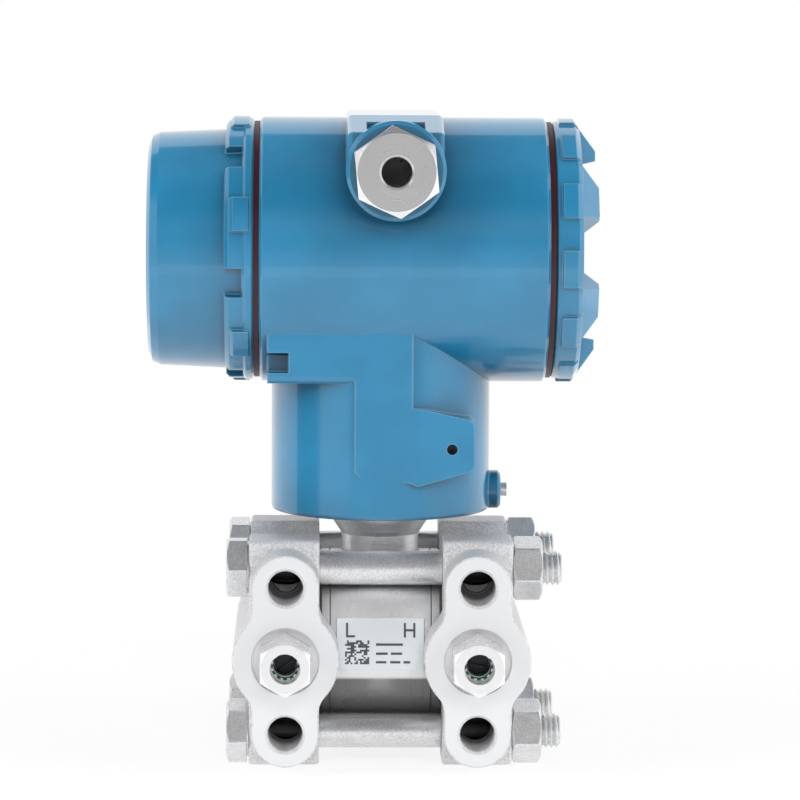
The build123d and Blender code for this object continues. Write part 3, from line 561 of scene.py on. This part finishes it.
def board_laminate():
    """Green board laminate with a glassy weave and lighter tracks."""
    material, nodes = new_material("board_laminate")
    weave = nodes.node("ShaderNodeTexWave", {"bands_direction": "DIAGONAL"},
                       {"Vector": nodes.place(), "Scale": 260.0, "Distortion": 5.0, "Detail": 1.0})
    resin = (0.012, 0.085, 0.035)
    track = (0.03, 0.17, 0.07)
    nodes.surface(base_color=nodes.blend(weave.rise(0.80, 0.95), resin, track),
                  roughness=0.35 + 0.1 * weave, normal=nodes.bump(weave, depth=0.02 * MM))
    return material


def panel_glass():
    """Grey-green liquid crystal panel."""
    material, nodes = new_material("panel_glass")
    tint = nodes.noise(scale=60.0, detail=2.0)
    dark = (0.30, 0.36, 0.27)
    light = (0.38, 0.44, 0.33)
    nodes.surface(base_color=nodes.blend(tint, dark, light), roughness=0.15 + 0.04 * tint,
                  coat_weight=0.6)
    return material


def finish(material, *names):
    """Give CAD nodes a finish."""
    for name in names:
        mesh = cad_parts[name].data
        mesh.materials.clear()
        mesh.materials.append(material)


def skin(name, rings, hollow=False):
    """Mesh through rings of points, closed by caps, or by a wall from the last ring to the first."""
    count = len(rings[0])
    points = [point for circle in rings for point in circle]
    faces = []
    for row in range(len(rings) - (0 if hollow else 1)):
        low = row * count
        high = (row + 1) % len(rings) * count
        for index in range(count):
            after = (index + 1) % count
            faces.append((low + index, low + after, high + after, high + index))
    if not hollow:
        last = (len(rings) - 1) * count
        faces.append(tuple(reversed(range(count))))
        faces.append(tuple(range(last, last + count)))
    mesh = bpy.data.meshes.new(name)
    mesh.from_pydata(points, [], faces)
    mesh.validate()
    return mesh


def joined(name, meshes):
    """One mesh made of several."""
    points = []
    faces = []
    for mesh in meshes:
        start = len(points)
        points += [vertex.co.copy() for vertex in mesh.vertices]
        faces += [tuple(start + index for index in face.vertices) for face in mesh.polygons]
        bpy.data.meshes.remove(mesh)
    whole = bpy.data.meshes.new(name)
    whole.from_pydata(points, [], faces)
    return whole


def piece(mesh, body, material):
    """A visible piece that rides on a body of the model."""
    mesh.shade_smooth()
    mesh.set_sharp_from_angle(angle=radians(35))
    mesh.materials.append(material)
    made = bpy.data.objects.new(mesh.name, mesh)
    bpy.context.scene.collection.objects.link(made)
    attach(made, body)
    return made


def bolt_axes(sizes, turns):
    """Y and Z of the four clamp bolts, with one of the turns for each."""
    each = iter(turns)
    for side_y in (-1, 1):
        for side_z in (-1, 1):
            centre = (sensor_y + side_y * sizes.spacing_y / 2, side_z * sizes.spacing_z / 2)
            yield centre, next(each)


class TRANSMITTER_OT_enamel(bpy.types.Operator):
    """Paint the housing and its covers."""
    bl_idname = "transmitter.enamel"
    bl_label = "Paint the housing"

    def execute(self, context):
        material = blue_enamel(context.scene.transmitter_colours)
        finish(material, "housing_casting", "display_cover", "terminal_cover")
        return {"FINISHED"}


class TRANSMITTER_OT_steel(bpy.types.Operator):
    """Finish the flanges, the capsule, the fittings and the fasteners."""
    bl_idname = "transmitter.steel"
    bl_label = "Finish the steel"

    def execute(self, context):
        colours = context.scene.transmitter_colours
        finish(cast_stainless(colours), "low_side_flange", "high_side_flange")
        capsule = turned_stainless("turned_capsule", colours, X_AXIS, centre=(sensor_y, 0.0),
                                   metallic=0.30, mark=0.08, neck=CAPSULE_TOP)
        finish(capsule, "sensor_capsule", "low_side_diaphragm", "high_side_diaphragm")
        for side in ("low_side", "high_side"):
            stem = node_centre(f"{side}_vent_stem")
            seal_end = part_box(f"{side}_vent_seal")[1].y
            fitting = turned_stainless(f"{side}_turned_fitting", colours, Y_AXIS, centre=(stem.x, stem.z),
                                       metallic=0.5, mark=0.002, end_face_shade=0.84, sleeve=seal_end)
            finish(fitting, f"{side}_vent_body", f"{side}_rear_plug")
        entry = node_centre("cable_gland")
        gland = turned_stainless("turned_gland", colours, Y_AXIS, centre=(entry.x, entry.z),
                                 metallic=0.85, mark=0.045, end_face_shade=0.62)
        finish(gland, "cable_gland", "conduit_blank")
        finish(rolled_steel("screw_skin", colours), "ground_screw")
        screw_steel = plain_steel("screw_steel", tint=(0.62, 0.60, 0.56), roughness=0.28)
        finish(screw_steel, "terminal_screws", "inner_ground_screw", "module_screws")
        dark_steel = plain_steel("dark_steel", tint=(0.045, 0.045, 0.05), roughness=0.32)
        finish(dark_steel, "low_side_vent_stem", "high_side_vent_stem", "housing_lock_screw")
        finish(plain_steel("brass", tint=(0.70, 0.48, 0.20), roughness=0.3), "board_spacers")
        return {"FINISHED"}


def lug_ring(middle, y, turn, inset):
    """Outline of a lug round the vent's axis, drawn in by inset."""
    half_turn = LUG_HALF_TURN - inset * LUG_TAPER
    arc = [turn + share * half_turn for share in (-1.0, -0.5, 0.0, 0.5, 1.0)]
    rim = [(LUG_OUTER - inset, angle) for angle in arc]
    rim += [(LUG_INNER + inset, angle) for angle in reversed(arc)]
    return [(middle.x + radius * sin(angle), y, middle.z + radius * cos(angle)) for radius, angle in rim]


def seal_lugs(side):
    """White lugs with chamfered fronts, one over each window in the face of a vent's seal ring."""
    middle = node_centre(f"{side}_vent_seal")
    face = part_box(f"{side}_vent_seal")[0].y
    profile = ((0.0, 0.0), (LUG_RISE - LUG_CHAMFER, 0.0), (LUG_RISE, LUG_CHAMFER))
    lugs = []
    for index in range(SEAL_WINDOWS):
        turn = 2 * pi * (index + 0.5) / SEAL_WINDOWS
        lugs.append(skin("lug", [lug_ring(middle, face - rise, turn, inset) for rise, inset in profile]))
    return joined(f"{side}_seal_lugs", lugs)


class TRANSMITTER_OT_soft_parts(bpy.types.Operator):
    """Finish the seals, the packings and the moulded parts."""
    bl_idname = "transmitter.soft_parts"
    bl_label = "Finish the seals and plastics"

    def execute(self, context):
        colours = context.scene.transmitter_colours
        red_rubber = moulded("dark_red_rubber", colours.seal_red, roughness=0.38)
        finish(red_rubber, "display_cover_seal", "terminal_cover_seal")
        black_rubber = moulded("black_rubber", (0.018, 0.018, 0.019), roughness=0.55)
        finish(black_rubber, "low_side_flange_seal", "high_side_flange_seal", "neck_seal",
               "window_gasket")
        green = moulded("green_plastic", colours.seal_green, roughness=0.35)
        finish(green, "low_side_vent_seal", "high_side_vent_seal", "low_side_vent_packing",
               "high_side_vent_packing")
        white = moulded("white_plastic", (0.95, 0.95, 0.93), roughness=0.5)
        for side in ("low_side", "high_side"):
            piece(seal_lugs(side), "sensor_module", white)
        black = moulded("black_plastic", (0.022, 0.022, 0.024), roughness=0.42, grain_scale=900.0)
        finish(black, "display_module", "window_retainer")
        terminal = moulded("terminal_plastic", (0.025, 0.027, 0.03), roughness=0.40, grain_scale=700.0)
        finish(terminal, "terminal_block")
        finish(board_laminate(), "electronics_board", "header_board")
        finish(panel_glass(), "display_panel")
        finish(window_glass(), "display_window")
        return {"FINISHED"}


def thread_radius(turn, travel, sizes):
    """Radius of a thread with flat crests at an angle round it and a distance along it."""
    phase = (travel / sizes.bolt_pitch - turn / (2 * pi)) % 1.0
    flank = min(abs(phase - 0.5) * 2.0 * FLANK_SLOPE, 1.0)
    return sizes.bolt_radius - sizes.bolt_pitch * sizes.thread_share * (1.0 - flank)


def ring(x, centre, columns, radius_at):
    """Points round an axis along X, each at the radius for its angle."""
    points = []
    for column in range(columns):
        turn = 2 * pi * column / columns
        radius = radius_at(turn)
        points.append((x, centre[0] + radius * cos(turn), centre[1] + radius * sin(turn)))
    return points


def hexagon_radius(turn, sizes):
    """Radius of a hexagon with a corner at angle 0."""
    return sizes.flats / 2 / cos(turn % radians(60) - radians(30))


def chamfered_rows(end, inward, centre, corner, sizes):
    """Rings of a hexagon along X whose corners are chamfered at this end, from the end inwards."""
    rows = []
    for depth in CHAMFER_DEPTHS:
        limit = sizes.flats / 2 * CHAMFER_SHARE + depth / CHAMFER_SLOPE
        rows.append(ring(end + inward * depth, centre, sizes.segments * 2,
                         lambda turn: min(hexagon_radius(turn - corner, sizes), limit)))
    return rows


def hexagon_nut(centre, nut_turn, sizes):
    """Hexagon nut along X, chamfered at both ends, with a plain bore."""
    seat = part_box("clamp_nuts")[0].x
    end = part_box("clamp_nuts")[1].x
    corner = radians(90) + nut_turn
    bore_radius = sizes.bolt_radius + NUT_CLEARANCE
    bore = [ring(x, centre, sizes.segments * 2, lambda turn: bore_radius) for x in (seat, end)]
    rows = chamfered_rows(seat, 1, centre, corner, sizes)
    rows += reversed(chamfered_rows(end, -1, centre, corner, sizes))
    return skin("nut", [bore[0], *rows, bore[1]], hollow=True)


def threaded_bolt(centre, head_turn, sizes):
    """Hexagon bolt along X: chamfered head, washer face, plain shank and cut thread."""
    head_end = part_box("clamp_bolts")[0].x
    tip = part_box("clamp_bolts")[1].x
    thread_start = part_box("clamp_nuts")[0].x
    seat = -thread_start
    corner = radians(90) - head_turn
    columns = sizes.segments * 2
    washer_radius = sizes.flats / 2 * WASHER_SHARE
    rings = chamfered_rows(head_end, 1, centre, corner, sizes)
    under = seat - sizes.washer_face
    rings.append(ring(under, centre, columns, lambda turn: hexagon_radius(turn - corner, sizes)))
    rings.append(ring(under, centre, columns, lambda turn: washer_radius))
    rings.append(ring(seat, centre, columns, lambda turn: washer_radius))
    rings.append(ring(seat, centre, columns, lambda turn: sizes.bolt_radius))
    rings.append(ring(thread_start, centre, columns, lambda turn: sizes.bolt_radius))
    length = tip - thread_start
    rows = round(length / sizes.bolt_pitch * sizes.steps)
    for row in range(1, rows + 1):
        travel = length * row / rows
        fade = min(travel / sizes.bolt_pitch, 1.0)
        limit = sizes.bolt_radius - max(0.0, sizes.end_chamfer - (length - travel))
        rings.append(ring(thread_start + travel, centre, columns, lambda turn: min(
            sizes.bolt_radius - fade * (sizes.bolt_radius - thread_radius(turn, travel, sizes)), limit)))
    return skin("bolt", rings)


class TRANSMITTER_OT_bolt_threads(bpy.types.Operator):
    """Stand bolts with cut threads and chamfered nuts in the place of the plain ones."""
    bl_idname = "transmitter.bolt_threads"
    bl_label = "Cut the bolt threads"

    def execute(self, context):
        sizes = context.scene.transmitter_threads
        # Span of painted shade on the bolts, inside the flanges' bolt holes.
        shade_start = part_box("high_side_flange")[0].x + 5.6 * MM
        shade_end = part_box("clamp_nuts")[0].x - 0.8 * MM
        material = rolled_steel("rolled_steel", context.scene.transmitter_colours, (shade_start, shade_end))
        bolts = [threaded_bolt(centre, turn, sizes) for centre, turn in bolt_axes(sizes, sizes.head_turns)]
        nuts = [hexagon_nut(centre, turn, sizes) for centre, turn in bolt_axes(sizes, sizes.nut_turns)]
        for name, meshes in (("clamp_bolts", bolts), ("clamp_nuts", nuts)):
            made = piece(joined(f"threaded_{name}", meshes), "sensor_module", material)
            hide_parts(name)
        return {"FINISHED"}


class Print:
    """Flat marks wrapped on the label, in millimetres right and up from the capsule's middle."""

    def __init__(self, radius):
        self.radius = radius
        self.points = []
        self.faces = []

    def patch(self, left, right, low, high):
        """One filled rectangle, in steps of about 1 mm that follow the curve."""
        steps = max(1, round(high - low))
        for step in range(steps):
            bottom = low + (high - low) * step / steps
            top = low + (high - low) * (step + 1) / steps
            start = len(self.points)
            for x, rise in ((left, bottom), (right, bottom), (right, top), (left, top)):
                depth = sqrt(self.radius ** 2 - (rise * MM) ** 2)
                self.points.append((x * MM, sensor_y - depth, rise * MM))
            self.faces.append((start, start + 1, start + 2, start + 3))

    def mesh(self, name):
        """All marks as one mesh."""
        mesh = bpy.data.meshes.new(name)
        mesh.from_pydata(self.points, [], self.faces)
        return mesh


class TRANSMITTER_OT_label(bpy.types.Operator):
    """Finish the label: side letters, a generic block pattern and plain bars in place of text."""
    bl_idname = "transmitter.label"
    bl_label = "Print the label"

    def execute(self, context):
        sizes = context.scene.transmitter_label
        finish(label_foil(), "capsule_label")
        marks = Print(sensor_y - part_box("capsule_label")[0].y + PRINT_LIFT)
        self.side_letters(marks, sizes)
        self.block_pattern(marks, sizes)
        self.bars(marks)
        piece(marks.mesh("label_print"), "sensor_module", label_ink())
        return {"FINISHED"}

    @staticmethod
    def side_letters(marks, sizes):
        """L on the low side and H on the high side."""
        tall = sizes.letter_height / MM
        stroke = sizes.letter_stroke / MM
        foot = 4.11
        top = foot + tall
        left, right = -9.9, -7.3
        marks.patch(left, left + stroke, foot, top)
        marks.patch(left + stroke, right, foot, foot + stroke)
        left, right = 6.55, 9.85
        marks.patch(left, left + stroke, foot, top)
        marks.patch(right - stroke, right, foot, top)
        bar = foot + tall / 2 - stroke / 2
        marks.patch(left + stroke, right - stroke, bar, bar + stroke)

    @staticmethod
    def block_pattern(marks, sizes):
        """Square of cells, each dark or bare by chance."""
        cell = sizes.cell / MM
        left, foot = -10.15, -3.6
        chance = random.Random(PATTERN_SEED)
        for row in range(sizes.cells):
            for column in range(sizes.cells):
                if chance.random() < 0.5:
                    x = left + column * cell
                    z = foot + row * cell
                    marks.patch(x, x + cell, z, z + cell)

    @staticmethod
    def bars(marks):
        """Three rows of plain bars in place of text."""
        half_height = 0.34
        rows = ((2.1, ((-1.35, 6.3),)), (-0.5, ((-1.35, 2.0), (2.9, 6.1))),
                (-3.0, ((-1.35, 1.6), (2.7, 5.6), (6.5, 8.4))))
        for middle, spans in rows:
            for start, end in spans:
                marks.patch(start, end, middle - half_height, middle + half_height)


def lamp(name, place, aim, width, height, share):
    """Soft lamp, unseen in reflections, that gives share of the full light on a surface that faces it."""
    data = bpy.data.lights.new(name, "AREA")
    data.shape = "RECTANGLE"
    data.size = width
    data.size_y = height
    reach = Vector(aim) - Vector(place)
    data.energy = share * pi ** 2 * reach.length_squared
    made = bpy.data.objects.new(name, data)
    made.visible_glossy = False
    made.location = place
    made.rotation_euler = reach.to_track_quat("-Z", "Y").to_euler()
    bpy.context.scene.collection.objects.link(made)


def studio_world(sizes):
    """Even light, a white background, and in reflections a dim room, side boxes and a white backdrop.

    X, Y and Z are those of the direction looked in, so each rise is an edge of a box or a backdrop.
    """
    world = bpy.data.worlds.new("studio")
    bpy.context.scene.world = world
    nodes = Nodes(world)
    x, y, z = nodes.split(nodes.node("ShaderNodeTexCoord", output="Generated"))
    backdrop = (y - 0.45 * z.most(0.0)).rise(0.14, 0.18)
    left = (-x).rise(0.46, 0.56) * (1.0 - (-x).rise(0.90, 0.94))
    right = x.rise(0.62, 0.72)
    boxes = (left + right) * (1.0 - abs(z).rise(0.55, 0.75)) * sizes.side_box
    front = (-y).rise(0.30, 0.42) * (1.0 - z.rise(-0.30, 0.50)) * sizes.front_glow
    low = (-z).rise(0.19, 0.21) * sizes.low_glow
    mirror = sizes.room + (1.0 - sizes.room) * backdrop.most(low).most(boxes).most(front)
    camera = nodes.node("ShaderNodeLightPath", output="Is Camera Ray")
    glossy = nodes.node("ShaderNodeLightPath", output="Is Glossy Ray")
    transmission = nodes.node("ShaderNodeLightPath", output="Is Transmission Ray")
    seen = glossy.most(transmission)
    level = seen * mirror + (1.0 - seen) * sizes.ambient
    strength = camera + (1.0 - camera) * level
    light = nodes.node("ShaderNodeBackground", inputs={"Color": (1.0, 1.0, 1.0, 1.0), "Strength": strength})
    nodes.node("ShaderNodeOutputWorld", inputs={"Surface": light})


def table_material():
    """White table that keeps the object's shadow and fades into the white background."""
    material, nodes = new_material("table_white")
    x, y, _ = nodes.split(nodes.place())
    fade_start, fade_end = 0.10, 0.26
    far = from_axis(x, y).rise(fade_start, fade_end)
    camera = nodes.node("ShaderNodeLightPath", output="Is Camera Ray")
    mirrored = nodes.node("ShaderNodeLightPath", output="Is Glossy Ray")
    paper = nodes.blend(nodes.noise(scale=60.0, detail=2.0), (0.80, 0.80, 0.80), (0.82, 0.82, 0.82))
    diffuse = nodes.node("ShaderNodeBsdfDiffuse", inputs={"Color": paper})
    glow = nodes.node("ShaderNodeEmission", inputs={"Color": (1, 1, 1, 1), "Strength": 0.26})
    near = nodes.node("ShaderNodeAddShader", inputs={0: diffuse, 1: glow})
    white = nodes.node("ShaderNodeEmission", inputs={"Color": (1, 1, 1, 1), "Strength": 1.0})
    near_white, mirrored_white = 0.80, 0.55
    whiteness = (near_white + (1.0 - near_white) * far) * camera + mirrored_white * mirrored
    shader = nodes.node("ShaderNodeMixShader", inputs={0: whiteness, 1: near, 2: white})
    nodes.node("ShaderNodeOutputMaterial", inputs={"Surface": shader})
    return material


class TRANSMITTER_OT_stage(bpy.types.Operator):
    """Table, lamps, background and camera."""
    bl_idname = "transmitter.stage"
    bl_label = "Set the stage"

    def execute(self, context):
        scene = context.scene
        sizes = scene.transmitter_studio
        scene.view_settings.view_transform = "Standard"
        studio_world(sizes)
        self.set_table(scene, sizes)
        aim = Vector(sizes.aim)
        lamp("left_lamp", (-1.15, -0.50, 0.40), aim, width=0.6, height=1.0, share=sizes.side_lamps)
        lamp("right_lamp", (1.15, -0.50, 0.40), aim, width=0.6, height=1.0, share=sizes.side_lamps)
        lamp("top_lamp", (0.0, 0.1, 1.15), aim, width=1.0, height=0.7, share=sizes.top_lamp)
        lamp("front_lamp", (0.1, -1.6, 0.9), aim, width=0.8, height=0.5, share=sizes.front_lamp)
        self.set_camera(scene, sizes, aim)
        return {"FINISHED"}

    @staticmethod
    def set_table(scene, sizes):
        """Round table under the object."""
        turns = [2 * pi * index / TABLE_POINTS for index in range(TABLE_POINTS)]
        rim = [(sizes.table_radius * cos(turn), sizes.table_radius * sin(turn), 0.0) for turn in turns]
        mesh = bpy.data.meshes.new("table")
        mesh.from_pydata(rim, [], [tuple(range(TABLE_POINTS))])
        mesh.materials.append(table_material())
        table = bpy.data.objects.new("table", mesh)
        table.location = (0.0, sensor_y, bench_z)
        scene.collection.objects.link(table)

    @staticmethod
    def set_camera(scene, sizes, aim):
        """Camera turned to the aim, then about its own view."""
        forward = Vector((sin(sizes.azimuth) * cos(sizes.pitch), cos(sizes.azimuth) * cos(sizes.pitch),
                          -sin(sizes.pitch)))
        flat_right = Vector((cos(sizes.azimuth), -sin(sizes.azimuth), 0.0))
        flat_up = flat_right.cross(forward)
        right = flat_right * cos(sizes.roll) + flat_up * sin(sizes.roll)
        up = flat_up * cos(sizes.roll) - flat_right * sin(sizes.roll)
        data = bpy.data.cameras.new("camera")
        data.sensor_width = SENSOR_WIDTH
        data.lens = sizes.focal_pixels * SENSOR_WIDTH / IMAGE_SIZE
        data.clip_start = 0.01
        camera = bpy.data.objects.new("camera", data)
        axes = Matrix((right, up, -forward)).transposed().to_4x4()
        camera.matrix_world = Matrix.Translation(aim - forward * sizes.distance) @ axes
        scene.collection.objects.link(camera)
        scene.camera = camera


STEPS = ("enamel", "steel", "soft_parts", "bolt_threads", "label", "stage")


class TRANSMITTER_PT_looks(bpy.types.Panel):
    """Buttons that dress the transmitter."""
    bl_idname = "TRANSMITTER_PT_looks"
    bl_label = "Pressure transmitter"
    bl_space_type = "VIEW_3D"
    bl_region_type = "UI"
    bl_category = "Transmitter"

    def draw(self, context):
        for step in STEPS:
            self.layout.operator(f"transmitter.{step}")


CLASSES = (FinishColours, StudioSizes, ThreadSizes, LabelSizes, TRANSMITTER_OT_enamel, TRANSMITTER_OT_steel,
           TRANSMITTER_OT_soft_parts, TRANSMITTER_OT_bolt_threads, TRANSMITTER_OT_label,
           TRANSMITTER_OT_stage, TRANSMITTER_PT_looks)


def register():
    """Register the classes and their settings."""
    for item in CLASSES:
        bpy.utils.register_class(item)
    scene = bpy.types.Scene
    scene.transmitter_colours = bpy.props.PointerProperty(type=FinishColours)
    scene.transmitter_studio = bpy.props.PointerProperty(type=StudioSizes)
    scene.transmitter_threads = bpy.props.PointerProperty(type=ThreadSizes)
    scene.transmitter_label = bpy.props.PointerProperty(type=LabelSizes)


def unregister():
    """Take the classes and their settings out again."""
    for name in ("colours", "studio", "threads", "label"):
        delattr(bpy.types.Scene, f"transmitter_{name}")
    for item in reversed(CLASSES):
        bpy.utils.unregister_class(item)


def main():
    """Dress the model and set the stage."""
    register()
    for step in STEPS:
        getattr(bpy.ops.transmitter, step)()


if __name__ == "__main__":
    main()
